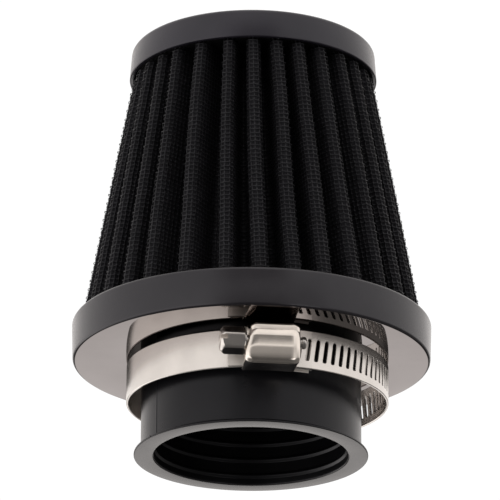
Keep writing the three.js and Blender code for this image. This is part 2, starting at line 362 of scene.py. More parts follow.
# A rougher, lighter copy of the band steel for the band's tail and the saddle: the rougher finish
# is real, the lighter tint is painted highlight.
LIGHTENED_TAIL_STEEL = rolled_steel("tail_steel_painted_highlight", ALONG_BAND, (0.5, 0.62), (0.8, 0.765, 0.72), 0.1)
HOUSING_STEEL = rolled_steel(
    "housing_steel", (60.0, 1800.0, 1800.0), (0.09, 0.16), (0.80, 0.745, 0.68)
)
SCREW_STEEL = rolled_steel(
    "screw_steel", (1500.0, 300.0, 300.0), (0.14, 0.24), (0.66, 0.63, 0.6)
)


def finish_piece(obj, body, node, material):
    """Gives a piece its material, ties it to its body and hides the CAD node it stands for, if
    any.
    """
    obj.data.materials.append(material)
    if body:
        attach(obj, body)
    if node:
        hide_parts(node)


# ------------------------------------------------------------------ end cap and potting
def make_end_cap():
    end = CAP_RADIUS - CAP_TAPER
    inner = CAP_RADIUS - CAP_WALL
    outline = fillet([
        (0, 0, 0),
        (end, 0, 1.3),
        (CAP_RADIUS, CAP_TOP, 0.35),
        (inner, CAP_TOP, 0.3),
        (inner - 0.5, CAP_FLOOR, 0.8),
        (0, CAP_FLOOR, 0),
    ])
    cap = lathe("end_cap_shell", outline, circle())
    finish_piece(cap, "filter", "end_cap", CAP_PLASTIC)


def make_cap_potting():
    """Cast filling whose surface creeps a little way up round the pleats."""
    inner = CAP_RADIUS - CAP_WALL
    bottom = CAP_FLOOR + 0.3
    outline = [(0, bottom), (inner - 0.8, bottom), (inner - 0.3, 7.7)]
    for r in (29, 27, 25, 23):
        outline.append((r, 7.6 - 0.5 * math.sin(math.pi * (r - 22) / 9.5) ** 2))
    outline += [(20, 7.5), (12, 7.45), (0, 7.4)]

    def ripple(angle, r, z):
        return 0.12 * math.sin(PLEATS * angle) if 22 < r < 30 else 0.0

    potting = lathe("cap_potting_cast", outline, circle(), ripple, 50)
    finish_piece(potting, "filter", "cap_potting", POTTING)


def make_base_potting():
    low, high, outer = span("base_potting")
    inner = NECK_RADIUS + 0.3
    corners = [(inner, low, 0.6), (outer, low, 0.6), (outer, high, 0.1), (inner, high, 0.1)]
    outline = fillet(corners)
    potting = lathe("base_potting_cast", outline, circle(), None, 50)
    finish_piece(potting, "filter", "base_potting", POTTING)


# ------------------------------------------------------------------ flange and neck
def assign_faces(obj, second, chosen):
    """Gives the faces that chosen(centre, normal) picks another material."""
    obj.data.materials.append(second)
    slot = len(obj.data.materials) - 1
    for polygon in obj.data.polygons:
        if chosen(polygon.center / MM, polygon.normal):
            polygon.material_index = slot


def make_flange():
    top_radius = FLANGE_RADIUS - FLANGE_TAPER
    hole = NECK_RADIUS + 0.05
    under = FLANGE_TOP - FLANGE_PLATE
    outline = fillet([
        (hole, under, 0.1),
        (top_radius - FLANGE_WALL, under, 0.6),
        (FLANGE_RADIUS - FLANGE_WALL, FLANGE_LOW, 0.3),
        (FLANGE_RADIUS, FLANGE_LOW, 0.9),
        (top_radius, FLANGE_TOP, 0.75),
        (hole, FLANGE_TOP, 0.1),
    ])
    flange = lathe("base_flange_shell", outline, circle(256), None, 40)
    finish_piece(flange, "filter", "base_flange", RIM_PLASTIC)

    def end_face(centre, normal):
        return centre.z > FLANGE_TOP - 0.12 and normal.z > 0.93

    assign_faces(flange, POLISHED, end_face)


def degrees_from_mould_line(angle):
    return math.degrees(math.remainder(angle - MOULD_LINE, 2 * math.pi))


def neck_angles():
    """Even steps, with finer ones where the mould line is."""
    fine = [MOULD_LINE + math.radians(d) for d in (-0.9, -0.5, -0.25, 0, 0.25, 0.5, 0.9)]
    even = [a for a in circle(240) if abs(degrees_from_mould_line(a)) > 1.3]
    return sorted(even + [a % (2 * math.pi) for a in fine])


def mould_line(angle, r, z):
    """A thin raised line down the outside of the neck."""
    outside = r > NECK_RADIUS - 0.1 and z > FLANGE_TOP
    return 0.16 * math.exp(-((degrees_from_mould_line(angle) / 0.3) ** 2)) if outside else 0.0


def make_neck():
    ribs = []
    crest = BORE - RIB_HEIGHT
    for depth in RIB_DEPTHS:
        z = NECK_MOUTH - depth
        ribs += [(BORE, z + 0.75, 0.15), (crest, z + 0.2, 0.2)]
        ribs += [(crest, z - 0.2, 0.2), (BORE, z - 0.75, 0.15)]
    outline = fillet([
        (BORE, NECK_LOW, 0.5),
        (NECK_RADIUS, NECK_LOW, 0.5),
        (NECK_RADIUS, NECK_MOUTH - 1.1, 0.6),
        (LIP_RADIUS - 0.05, NECK_MOUTH - 0.5, 0.12),
        (LIP_RADIUS, NECK_MOUTH, 0.2),
        (BORE, NECK_MOUTH, 0.45),
        *ribs,
    ])
    neck = lathe("neck_sleeve_rubber", outline, neck_angles(), mould_line, 50)
    finish_piece(neck, "filter", "neck_sleeve", NECK_RUBBER)

    def end_face(centre, normal):
        return centre.z > NECK_MOUTH - 0.12 and normal.z > 0.7

    # Painted shade: the faces inside the neck get the darker copy of the rubber.
    def inside(centre, normal):
        return centre.xy.length < BORE + 0.2 and centre.z < NECK_MOUTH - 0.6

    assign_faces(neck, LIP_FACE, end_face)
    assign_faces(neck, SHADED_BORE_RUBBER, inside)


# ------------------------------------------------------------------ pleated element
# Degrees by which the folds nearest the camera stray from even spacing, five each side.
FRONT_STRAY = (0.0, -0.5, 0.0, -0.2, -1.0, -1.3, -1.5, 0.8, 2.6, 0.6, 0.0)
TWIST = 1.5  # degrees by which the folds lean round the cone, each way from mid-height
CROWN_ROUND, FLOOR_ROUND = 2.0, 0.7  # how deep the rounding of a fold's tip and floor is


class Pleat:
    """One fold, with its own small departures from an even pleat."""

    def __init__(self, index):
        pitch = 360.0 / PLEATS
        from_front = index if index < PLEATS / 2 else index - PLEATS
        stray = FRONT_STRAY[from_front + 5] if abs(from_front) <= 5 else rng.uniform(-1.0, 1.0)
        self.ridge = index * pitch - 90 + stray
        self.stray = stray
        self.half_width = 2.1 + rng.uniform(-0.15, 0.15)
        self.lean = rng.uniform(-0.35, 0.35)
        self.wave = rng.uniform(0, 2 * math.pi)
        self.height = rng.uniform(-0.15, 0.12)


FOLDS = [Pleat(i) for i in range(PLEATS)]
for this, following in zip(FOLDS, FOLDS[1:] + FOLDS[:1]):
    this.valley = this.ridge + 180.0 / PLEATS + (following.stray - this.stray) / 2


def directions(degrees):
    """The unit vectors outwards and anticlockwise round the axis, at an angle."""
    c, s = math.cos(math.radians(degrees)), math.sin(math.radians(degrees))
    return np.array((c, s)), np.array((-s, c))


def fold_path(index, along):
    """Dense points over one fold, from its valley's middle to the next one's. along is the share
    of the height."""
    fold, before = FOLDS[index], FOLDS[index - 1]
    lean = TWIST * (1 - 2 * along)
    left_valley = before.valley - (360 if index == 0 else 0) + lean
    tip = PLEAT_FOOT + (PLEAT_RADIUS + PLEAT_FULLER - PLEAT_FOOT) * along + fold.height
    ridge_angle = fold.ridge + lean + fold.lean * math.sin(2.2 * along * math.pi + fold.wave)
    out, side = directions(ridge_angle)
    half = fold.half_width * (0.86 + 0.2 * along)
    ridge = []
    for t in np.linspace(math.pi, 0, 25):
        reach = tip - CROWN_ROUND * (1 - math.sin(t))
        ridge.append(out * reach + side * math.cos(t) * half)
    valleys = []
    floor = 0.45 + 0.55 * along
    for angle, half in ((left_valley, floor), (fold.valley + lean, -floor)):
        out, side = directions(angle)
        arc = []
        for t in np.linspace(0, math.pi / 2, 7):
            reach = tip - PLEAT_DEPTH + FLOOR_ROUND * (1 - math.cos(t))
            arc.append(out * reach + side * half * math.sin(t))
        valleys.append(arc)
    return np.array(valleys[0] + ridge + valleys[1][::-1])


def resample(path, count):
    """Evenly spaced points with their outward normals; the path's last point is left out."""
    steps = np.linalg.norm(np.diff(path, axis=0), axis=1)
    at = np.concatenate(([0], np.cumsum(steps)))
    wanted = np.linspace(0, at[-1], count + 1)[:-1]
    near = at[-1] * 0.01

    def pick(where):
        inside = np.clip(where, 0, at[-1])
        return np.stack([np.interp(inside, at, path[:, c]) for c in (0, 1)], axis=1)

    tangent = pick(wanted + near) - pick(wanted - near)
    tangent /= np.linalg.norm(tangent, axis=1)[:, None]
    return pick(wanted), np.stack((tangent[:, 1], -tangent[:, 0]), axis=1)


def loop_at(z, per_fold, inset):
    """All the folds at a height, moved in by inset from the outer surface. They tuck in at the
    cap's rim."""
    along = (z - PLEAT_LOW) / (PLEAT_TOP - PLEAT_LOW)
    tuck = 0.6 * math.exp(-max(z - CAP_TOP, 0) / 0.35)
    points = []
    for index in range(PLEATS):
        places, normals = resample(fold_path(index, along), per_fold)
        points.append(places - normals * inset)
    loop = np.concatenate(points)
    radius = np.linalg.norm(loop, axis=1)[:, None]
    return loop * (1 - tuck / radius)


def smooth_noise(count, size, spread):
    """A random value for each of count steps that changes slowly, over about size steps."""
    knots = [rng.uniform(-spread, spread) for _ in range(count // size + 3)]
    return np.interp(np.arange(count), np.arange(len(knots)) * size, knots)


WIRE_SHARE = 0.22  # the wire's width as a share of the weave's pitch
WEAVE_DEPTH = 0.1  # how far a crossing lies over or under the middle of the screen
SCREEN_INSET = 0.13  # how far that middle lies inside the folds' outer surface
CORNER_LEAN = 0.8
SAG_ROWS = 6  # rows between one random line of sag and the next


def make_outer_screen():
    """Woven wire. Each crossing is a square that lies over or under its neighbours, and the
    normals at its corners lean outwards, so that the light falls as it does on round wires."""
    per_loop = PLEATS * COLUMNS_PER_PLEAT
    bottom = CAP_TOP - 0.6
    rise = (PLEAT_TOP - bottom) / (MESH_ROWS - 1)
    sag = [smooth_noise(per_loop, 7, 0.12) for _ in range(MESH_ROWS // SAG_ROWS + 2)]
    sway = smooth_noise(per_loop, 3, 0.22)
    points, normals = [], []
    for row in range(MESH_ROWS):
        level = bottom + row * rise
        middle = loop_at(level, 2 * COLUMNS_PER_PLEAT, 0.0)
        outward = middle - loop_at(level, 2 * COLUMNS_PER_PLEAT, 2 * SCREEN_INSET)
        outward /= np.linalg.norm(outward, axis=1)[:, None]
        block, share = divmod(row / SAG_ROWS, 1)
        drop = sag[int(block)] * (1 - share) + sag[int(block) + 1] * share
        for column in range(per_loop):
            here = middle[2 * column]
            ahead = middle[(2 * column + 1) % len(middle)]
            behind = middle[2 * column - 1]
            shift = sway[column] + rng.uniform(-0.12, 0.12)
            here = here + (ahead - behind) / 2 * shift
            over = WEAVE_DEPTH if (row + column) % 2 else -WEAVE_DEPTH
            normal = outward[2 * column]
            along = (ahead - behind) / np.linalg.norm(ahead - behind)
            z = level + drop[column] + rng.uniform(-0.1, 0.1)
            width = WIRE_SHARE * rng.uniform(0.75, 1.2)
            for u, v in ((-1, -1), (1, -1), (1, 1), (-1, 1)):
                step = (ahead - behind) / 2 * u
                place = here + step * width + normal * (over - SCREEN_INSET)
                points.append((*place, z + v * width * rise / 2))
                lean = Vector((*(normal + along * u * CORNER_LEAN), v * CORNER_LEAN))
                normals.append(lean.normalized())
    faces = []
    for row in range(MESH_ROWS):
        for column in range(per_loop):
            a = 4 * (row * per_loop + column)
            b = 4 * (row * per_loop + (column + 1) % per_loop)
            faces.append((a, a + 1, a + 2, a + 3))
            faces.append((a + 1, b, b + 3, a + 2))
            if row + 1 < MESH_ROWS:
                c = 4 * ((row + 1) * per_loop + column)
                faces.append((a + 3, a + 2, c + 1, c))
    screen = build("outer_wire_screen", points, faces, sharp=None)
    screen.data.normals_split_custom_set_from_vertices(normals)
    finish_piece(screen, "filter", "outer_screen", WIRE)


def pleated_sheet(name, inset, thickness, rows=14, per_fold=24):
    """A closed pleated wall: outer surface, inner surface and the two ends."""
    heights = np.linspace(PLEAT_LOW, PLEAT_TOP, rows)
    rings = [(z, inset) for z in heights] + [(z, inset + thickness) for z in heights[::-1]]
    points, faces = [], []
    count = PLEATS * per_fold
    for z, depth in rings:
        points += [(x, y, z) for x, y in loop_at(z, per_fold, depth)]
    for i in range(len(rings)):
        n = (i + 1) % len(rings)
        for k in range(count):
            k2 = (k + 1) % count
            faces.append((i * count + k, i * count + k2, n * count + k2, n * count + k))
    return build(name, points, faces, 60)


def make_media():
    """The cotton and the inner screen, one behind the other under the outer screen."""
    media = pleated_sheet("cotton_media", 0.42, 0.5)
    finish_piece(media, "filter", "filter_media", COTTON)
    screen = pleated_sheet("inner_wire_screen", 1.05, 0.25)
    finish_piece(screen, "filter", "inner_screen", WIRE)


# ------------------------------------------------------------------ clamp frame
def clamp_frame():
    """The clamp's own frame, from its joints: band axis Z, housing towards -Y, screw along X."""
    screw = joint("screw_spin")
    z = Vector(joint("band_flex_01")["axis"]).normalized()
    x = -Vector(screw["axis"]).normalized()
    y = z.cross(x)
    origin = Vector(screw["pos_m"]) / MM + SCREW_RADIUS * y
    return Matrix((x, y, z)).transposed(), origin


CLAMP_TURN, CLAMP_CENTRE = clamp_frame()


def to_row(points):
    """Points of the clamp's own frame, in the row frame, in mm."""
    return [tuple(CLAMP_TURN @ Vector(p) + CLAMP_CENTRE) for p in points]


def band_radius(degrees):
    share = (degrees - RISE_FROM) / (RISE_TO - RISE_FROM)
    return BAND_INNER + BAND_RISE * clipped(share)


def on_band(degrees, outward, across):
    """A point on the band in the clamp's frame: outward from its inner face, across its width."""
    a = math.radians(degrees)
    r = band_radius(degrees) + outward
    return (r * math.sin(a), -r * math.cos(a), across)


# ------------------------------------------------------------------ band
ROWS_ACROSS = (-5.0, -4.82, -3.5, -2.4, -1.2, 0.0, 1.2, 2.4, 3.5, 4.82, 5.0)
BESIDE_SLOT = ROWS_ACROSS[3:8]
PAST_SLOT = 3.5  # the first row past the slots' ends
SLOT_HALF_WIDTH, SLOT_HALF_LENGTH = 0.49, 2.9
SLOT_SLANT = math.tan(math.radians(8))
SLOT_SHIFT = 0.3  # how far each slot lies from the middle of its pitch
CELL = LINK_ANGLE / SLOTS_PER_LINK  # the slots' pitch
SHEET_RADIUS = 33.5  # turns degrees into mm for the surface map


class Sheet:
    """A flat pattern of faces over (degrees, across), to be bent and given its thickness."""

    def __init__(self):
        self.places, self.faces, self.index = [], [], {}

    def point(self, degrees, across, drop=0.0):
        key = (round(degrees, 4), round(across, 4))
        if key not in self.index:
            self.index[key] = len(self.places)
            self.places.append((degrees, across, drop))
        return self.index[key]

    def quad(self, *corners):
        self.faces.append([self.point(*c) for c in corners])


def edge_drop(across):
    """How far the sheet's surface falls at its rounded edges."""
    return 0.14 if abs(across) >= BAND_HALF - 1e-6 else 0.0


def plain_face(sheet, start, end, low, high):
    sheet.quad(
        (start, low, edge_drop(low)),
        (end, low, edge_drop(low)),
        (end, high, edge_drop(high)),
        (start, high, edge_drop(high)),
    )


def plain_cells(sheet, start, end, count):
    """Faces over the band's whole width, in count equal steps."""
    step = (end - start) / count
    for k in range(count):
        for low, high in zip(ROWS_ACROSS, ROWS_ACROSS[1:]):
            plain_face(sheet, start + step * k, start + step * (k + 1), low, high)


def slot_outline(widen):
    """The slot's 16 points, as (mm along, mm across), anticlockwise from its lower right."""
    half = SLOT_HALF_WIDTH + widen
    top = SLOT_HALF_LENGTH + widen
    right = [(half, w) for w in BESIDE_SLOT]
    cap = [(half * 0.78, top - 0.12), (0, top), (-half * 0.78, top - 0.12)]
    one_half = right + cap
    return [(u + w * SLOT_SLANT, w) for u, w in one_half + [(-u, -w) for u, w in one_half]]


def slotted_cell(sheet, start, end):
    """One pitch of band with a slot: rings of faces round the slot, then rows to the edges."""
    middle = (start + end) / 2
    per_mm = math.degrees(1 / (band_radius(middle) + BAND_THICK / 2))
    window = [(end, w) for w in BESIDE_SLOT]
    window += [(a, PAST_SLOT) for a in (end, middle, start)]
    window += [(start, -w) for w in BESIDE_SLOT]
    window += [(a, -PAST_SLOT) for a in (start, middle, end)]
    rings = [[(a, w, 0.0) for a, w in window]]
    for widen, drop in ((0.14, 0.0), (0.0, 0.1)):
        outline = slot_outline(widen)
        rings.append([(middle + (u - SLOT_SHIFT) * per_mm, w, drop) for u, w in outline])
    for outer, inner in zip(rings, rings[1:]):
        for k in range(len(outer)):
            n = (k + 1) % len(outer)
            sheet.quad(outer[k], outer[n], inner[n], inner[k])
    for low, high in zip(ROWS_ACROSS, ROWS_ACROSS[1:]):
        if abs(low + high) / 2 > PAST_SLOT:
            plain_face(sheet, start, middle, low, high)
            plain_face(sheet, middle, end, low, high)


def close_sheet(name, sheet, thickness, place):
    """Makes the pattern's two sides, with place(degrees, outward, across), and closes them with
    walls along every free edge."""
    count = len(sheet.places)
    points = [place(a, thickness - drop, w) for a, w, drop in sheet.places]
    points += [place(a, drop, w) for a, w, drop in sheet.places]
    faces = sheet.faces + [[i + count for i in reversed(face)] for face in sheet.faces]
    edges = {(a, b) for face in sheet.faces for a, b in zip(face, face[1:] + face[:1])}
    faces += [[b, a, a + count, b + count] for a, b in edges if (b, a) not in edges]
    uv = [(math.radians(a) * SHEET_RADIUS, w) for a, w, _ in sheet.places] * 2
    return build(name, to_row(points), faces, 30, uv)


def bend_sheet(name, sheet, twist_from=None):
    """Bends the pattern round the clamp. Past twist_from the strip twists a little, so that its
    edge nearest the mouth lies lower."""

    def place(degrees, outward, across):
        twist = TAIL_TWIST * clipped((degrees - twist_from) / 4) if twist_from else 0
        return on_band(degrees, outward + twist * (BAND_HALF - across), across)

    return close_sheet(name, sheet, BAND_THICK, place)


def middle_of(link):
    """Angle at the middle of a link; link 0 is the band's fixed end on the clamp's head."""
    return FIRST_HINGE + (link - 0.5) * LINK_ANGLE if link else FIRST_HINGE - LINK_ANGLE / 2


def body_of_link(link):
    return f"band_{link:02d}" if link else "clamp_head"


def band_pattern(start, end):
    """A stretch of band, slotted where it belongs to the last links."""
    sheet = Sheet()
    slots_from = FIRST_HINGE + (LINKS - SLOTTED_LINKS) * LINK_ANGLE
    for cell in range(round((end - start) / CELL)):
        a = start + cell * CELL
        if a >= slots_from - 0.01:
            slotted_cell(sheet, a, a + CELL)
        else:
            plain_cells(sheet, a, a + CELL, 2)
    return sheet


def make_band():
    """The foot, a strip for each link, and the tail."""
    foot = Sheet()
    plain_cells(foot, BAND_FOOT, middle_of(0), 8)
    piece = bend_sheet("band_strip_00", foot)
    finish_piece(piece, "clamp_head", "band_foot", BAND_STEEL)
    for link in range(1, LINKS + 1):
        start, end = middle_of(link - 1), middle_of(link)
        piece = bend_sheet(f"band_strip_{link:02d}", band_pattern(start, end))
        finish_piece(piece, None, f"band_link_{link:02d}", BAND_STEEL)
        ends = [Vector(p) * MM for p in to_row([on_band(start, 0.3, 0), on_band(end, 0.3, 0)])]
        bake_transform(piece)
    last = middle_of(LINKS) + CELL
    tail = band_pattern(middle_of(LINKS), last)
    plain_cells(tail, last, BAND_TAIL, 4)
    piece = bend_sheet("band_tail", tail, last)
    # Painted highlight: the tail gets the lighter copy of the band steel.
    finish_piece(piece, body_of_link(LINKS), None, LIGHTENED_TAIL_STEEL)


# ------------------------------------------------------------------ housing, saddle and screw
HOUSING_FROM, HOUSING_TO = -5.95, 7.2  # along the screw, tail end to head end
HEAD_SLANT = 1.3  # how far the head end falls back at the dome's edge nearest the flange
HOUSING_WALL = 0.32
HOUSING_FOOT = BAND_INNER + 0.2
LEGS_TOP = 38.5  # below this the sides turn step by step into legs that follow the band
LEG_SETBACK = 0.6  # how far the legs stand back at the tail end
DOME_MIDDLE, DOME_HALF_WIDTH, DOME_RISE = 0.8, 4.6, 4.2
TUNNEL_TOP = 35.4  # the end walls stand above this
SCREW_HOLE = 2.15  # half the width of the gap in them
END_ROUND, END_DRAW = 1.5, 0.8  # how far from each end the dome starts to close, and how much
WALL_LOW, WALL_HIGH = -3.9, 40.77  # where the wall nearest the flange ends and the dome begins
# The dome from that wall to the far one: the way it faces, in degrees from straight out
# towards the neck's mouth, at the start and the end of each stretch, and its length.
DOME = (
    (-76, -15, 0.35),
    (1.2, 2.2, 1.2),
    (-10, -7.5, 1.6),
    (-7.5, -2.5, 0.35),
    (-2.5, -0.5, 2.1),
    (-0.5, 3.5, 0.9),
    (4.5, 12, 2.5),
    (12, 60, 0.9),
    (60, 78, 0.9),
)
DOME_STEPS = 10
DOME_CREASE = 4 + 2 * DOME_STEPS  # the profile's point between the second and third stretches


def dome_profile():
    """The arch across the band as (across, outward), foot to foot."""
    across, out = WALL_LOW, WALL_HIGH
    profile = [(-5.42, HOUSING_FOOT), (-5.4, 34.7), (-5.1, 35.5), (-4.8, 37.0), (across, out)]
    for start, end, length in DOME:
        for k in range(DOME_STEPS):
            facing = math.radians(start + (end - start) * (k + 0.5) / DOME_STEPS)
            across += math.cos(facing) * length / DOME_STEPS
            out -= math.sin(facing) * length / DOME_STEPS
            profile.append((across, out))
    return profile + [((across + 5.45) / 2, (out + 35.0) / 2), (5.45, 35.0), (5.5, HOUSING_FOOT)]


def housing_stations():
    """(x, pull) along the screw: pull is how far the dome closes in there, in mm."""
    shares = [math.sin(math.pi / 2 * k / 8) for k in range(9)]
    ends = [
        (END_ROUND * (1 - u), END_DRAW * (0.35 * u + 0.65 * (1 - math.sqrt(1 - u * u))))
        for u in shares
    ]
    between = HOUSING_TO - HOUSING_FROM - 2 * END_ROUND
    stations = [(HOUSING_FROM + inset, pull) for inset, pull in reversed(ends)]
    stations += [(HOUSING_FROM + END_ROUND + between * k / 9, 0.0) for k in range(1, 9)]
    stations += [(HOUSING_TO - inset, pull) for inset, pull in ends]
    return stations


def housing_point(x, pull, across, out):
    """The profile's point (across, out) at a station, in the clamp's frame."""
    leg = clipped((LEGS_TOP - out) / (LEGS_TOP - HOUSING_FOOT))
    draw = pull * (1 - leg)
    place = DOME_MIDDLE + (across - DOME_MIDDLE) * (1 - draw / DOME_HALF_WIDTH)
    height = out
    if out >= SCREW_RADIUS:
        height = SCREW_RADIUS + (out - SCREW_RADIUS) * (1 - draw / DOME_RISE)
    height -= (BAND_INNER - math.sqrt(BAND_INNER**2 - x * x)) * leg
    tail_share, head_share = min(x / HOUSING_TO, 0), max(x / HOUSING_TO, 0)
    slant = HEAD_SLANT * head_share * (1 - leg) * clipped((4 - across) / 7)
    return (x - LEG_SETBACK * leg * tail_share - slant, -height, place)


def end_wall(points, row, at_tail):
    """Closes the arch's end in towards the screw, leaving an inverted U round it."""
    side = 0.15  # share of the U's points on each of its straight sides
    used = [k for k in row if -points[k][1] > TUNNEL_TOP]
    inner = []
    for n, outer in enumerate(used):
        share = n / (len(used) - 1)
        if side <= share <= 1 - side:
            turn = math.pi * (share - side) / (1 - 2 * side)
            across = -SCREW_HOLE * math.cos(turn)
            height = SCREW_RADIUS + 0.8 * SCREW_HOLE * math.sin(turn)
        else:
            across = -SCREW_HOLE if share < side else SCREW_HOLE
            height = TUNNEL_TOP + (SCREW_RADIUS - TUNNEL_TOP) * min(share, 1 - share) / side
        inner.append(len(points))
        points.append((points[outer][0], -height, across))
    faces = []
    for n in range(len(used) - 1):
        face = (used[n], used[n + 1], inner[n + 1], inner[n])
        faces.append(face[::-1] if at_tail else face)
    return faces


def make_housing():
    """The stamped housing: an arch and two end walls, thickened inwards."""
    profile = dome_profile()
    points, rows = [], []
    for x, pull in housing_stations():
        rows.append(range(len(points), len(points) + len(profile)))
        points += [housing_point(x, pull, across, out) for across, out in profile]
    faces = [
        (a[k + 1], b[k + 1], b[k], a[k])
        for a, b in zip(rows, rows[1:])
        for k in range(len(profile) - 1)
    ]
    faces += end_wall(points, rows[0], at_tail=True)
    faces += end_wall(points, rows[-1], at_tail=False)
    housing = build("clamp_housing_shell", to_row(points), faces, None)
    shell = housing.modifiers.new("wall", "SOLIDIFY")
    shell.thickness = HOUSING_WALL * MM
    shell.offset = -1
    shell.use_even_offset = True
    apply_modifiers(housing)
    housing.data.set_sharp_from_angle(angle=math.radians(40))
    crease = {row[DOME_CREASE] for row in rows}
    for edge in housing.data.edges:
        if all(v % len(points) in crease for v in edge.vertices):
            edge.use_edge_sharp = True
    finish_piece(housing, "clamp_head", "clamp_housing", HOUSING_STEEL)


SADDLE_FROM, SADDLE_TO = -17.3, 13.0  # degrees round the clamp
SADDLE_INNER = BAND_INNER - 0.7
SADDLE_THICK = 0.45
SADDLE_HALF = 5.45


def make_saddle():
    """The plate under the band, whose tail tab shows beside the housing."""
    sheet = Sheet()
    plain_cells(sheet, SADDLE_FROM, SADDLE_TO, 16)

    def place(degrees, outward, across):
        a = math.radians(degrees)
        r = SADDLE_INNER + outward
        return (r * math.sin(a), -r * math.cos(a), across * SADDLE_HALF / BAND_HALF)

    plate = close_sheet("clamp_saddle_plate", sheet, SADDLE_THICK, place)
    # Painted highlight: the saddle gets the lighter copy of the band steel.
    finish_piece(plate, "clamp_head", "clamp_saddle", LIGHTENED_TAIL_STEEL)


JOURNAL, COLLAR = 1.6, 2.6  # radii of the screw's bearings and of the collar under its head
THREAD_ROOT, THREAD_CREST, THREAD_PITCH = 1.7, 2.0, 2.39
STUB = 2.2  # how far the screw's rear end stands out of the housing
HEX_HALF, HEX_LENGTH = 6.35 / 2, 6.25
HEX_CORNER = HEX_HALF / math.cos(math.pi / 6) - 0.12  # the corners are a little worn
HEX_TURN = math.radians(-14)  # the head's flat faces a little towards the neck's mouth


def screw_rows():
    """(x, radius function) along the screw, from its rear stub to its hex head."""
    rows = []

    def plain(start, *steps):
        for dx, radius in steps:
            rows.append((start + dx, lambda turn, radius=radius: radius))

    def thread(x):
        def radius(turn):
            phase = (x / THREAD_PITCH - turn / (2 * math.pi)) % 1
            rise = clipped(1.5 - 5 * abs(phase - 0.5))
            return THREAD_ROOT + (THREAD_CREST - THREAD_ROOT) * rise
        rows.append((x, radius))

    def hexagon(x, most):
        def radius(turn):
            off = (turn - HEX_TURN + math.pi / 6) % (math.pi / 3) - math.pi / 6
            return min(HEX_HALF / math.cos(off), most)
        rows.append((x, radius))

    stub = HOUSING_FROM - STUB  # rounded at its end, with one shallow groove
    plain(stub, (0, 0.0), (0, 0.9), (0.1, 1.25), (0.25, 1.45), (0.5, JOURNAL), (1.2, JOURNAL))
    plain(stub, (1.3, JOURNAL - 0.3), (1.6, JOURNAL - 0.3), (1.7, JOURNAL))
    worm_from, worm_to = HOUSING_FROM + 1.0, HOUSING_TO - 1.0
    plain(worm_from, (0, JOURNAL))
    for x in np.linspace(worm_from + 0.02, worm_to - 0.02, 121):
        thread(x)
    plain(worm_to, (0, JOURNAL))
    plain(HOUSING_TO, (0.04, JOURNAL), (0.05, COLLAR), (0.27, COLLAR))
    head = HOUSING_TO + 0.3
    head_end = head + HEX_LENGTH
    for dx in np.linspace(0, 0.3, 4):
        hexagon(head + dx, HEX_CORNER - 0.35 * (1 - dx / 0.3))
    for x in np.linspace(head + 0.6, head_end - 1.4, 6):
        hexagon(x, HEX_CORNER)
    for share in np.linspace(0, 1, 8):
        hexagon(head_end - 1.1 * (1 - share), HEX_CORNER - 0.85 * share**1.3)
    plain(head_end, (0, 2.5), (-0.05, 2.2), (-0.05, 0.0))
    return rows, head_end


def make_screw():
    sides = 96
    rows, head_end = screw_rows()
    points, rings = [], []
    for x, radius_at in rows:
        ring = []
        for k in range(sides):
            turn = 2 * math.pi * k / sides
            radius = radius_at(turn)
            ring.append(len(points))
            points.append((x, -SCREW_RADIUS + radius * math.cos(turn), radius * math.sin(turn)))
            if radius == 0:
                ring = [ring[0]] * sides
                break
        rings.append(ring)
    faces = []
    for a, b in zip(rings, rings[1:]):
        for k in range(sides):
            n = (k + 1) % sides
            faces.append(without_repeats([a[k], a[n], b[n], b[k]]))
    screw = build("worm_screw_body", to_row(points), faces, 24)
    cut_driver_slot(screw, head_end)
    finish_piece(screw, "worm", "worm_screw", SCREW_STEEL)


def cut_driver_slot(screw, head_end):
    """A straight driver slot across the hex head's end."""
    depth, half_width = 1.6, 0.55
    corners = [
        (head_end + dx, -SCREW_RADIUS + dy, dz)
        for dx in (-depth, 1.0)
        for dy in (-5.0, 5.0)
        for dz in (-half_width, half_width)
    ]
    sides = [(0, 1, 3, 2), (4, 6, 7, 5), (0, 4, 5, 1), (2, 3, 7, 6), (0, 2, 6, 4), (1, 5, 7, 3)]
    cutter = build("driver_slot_cutter", to_row(corners), sides, None)
    for polygon in cutter.data.polygons:
        polygon.use_smooth = False
    cut = screw.modifiers.new("slot", "BOOLEAN")
    cut.operation = "DIFFERENCE"
    cut.object = cutter
    cut.solver = "EXACT"
    apply_modifiers(screw)
    screw.data.set_sharp_from_angle(angle=math.radians(24))
    bpy.data.objects.remove(cutter)


# ------------------------------------------------------------------ light and camera
WARM = (1.0, 0.955, 0.93)
BRIGHTEST = 2.0
BACKDROP = 1.05  # what the camera sees, a little over white
# Brightness by elevation in degrees, on each side of the studio.
FRONT_LIGHT = (
    (-90, 1.15), (-33, 1.15), (-28, 0.26), (-22, 0.16), (-19.5, 0.2), (-17.5, 1.05),
    (-14.5, 1.05), (-12, 0.36), (0, 0.32), (8, 0.13), (30, 0.08), (90, 0.1),
)
GLINT_LIGHT = (
    (-90, 1.1), (-24, 1.1), (-10, 0.6), (8, 0.8), (14, 1.8), (28, 1.8), (40, 0.1), (90, 0.1),
)
LEFT_LIGHT = ((-90, 1.1), (-20, 1.05), (12, 1.55), (28, 1.55), (50, 0.2), (90, 0.1))
RIGHT_LIGHT = ((-90, 1.1), (-12, 1.1), (10, 0.2), (40, 0.15), (90, 0.1))
FAR_LIGHT = ((-90, 1.1), (-16, 1.15), (0, 0.6), (10, 0.04), (40, 0.04), (90, 0.1))
BACK_LIGHT = (
    (-90, 1.1), (-30, 0.9), (-10, 0.95), (10, 1.03), (30, 1.03), (40, 0.1), (90, 0.1),
)
# Where each light begins and where it is full, in degrees round the object from the camera.
# Each lies over the ones before it, and the last two do so on both sides.
SIDES = ((11, 31, LEFT_LIGHT), (-18, -28, GLINT_LIGHT), (-40, -52, RIGHT_LIGHT))
REAR = ((141, 152, FAR_LIGHT), (168, 174, BACK_LIGHT))


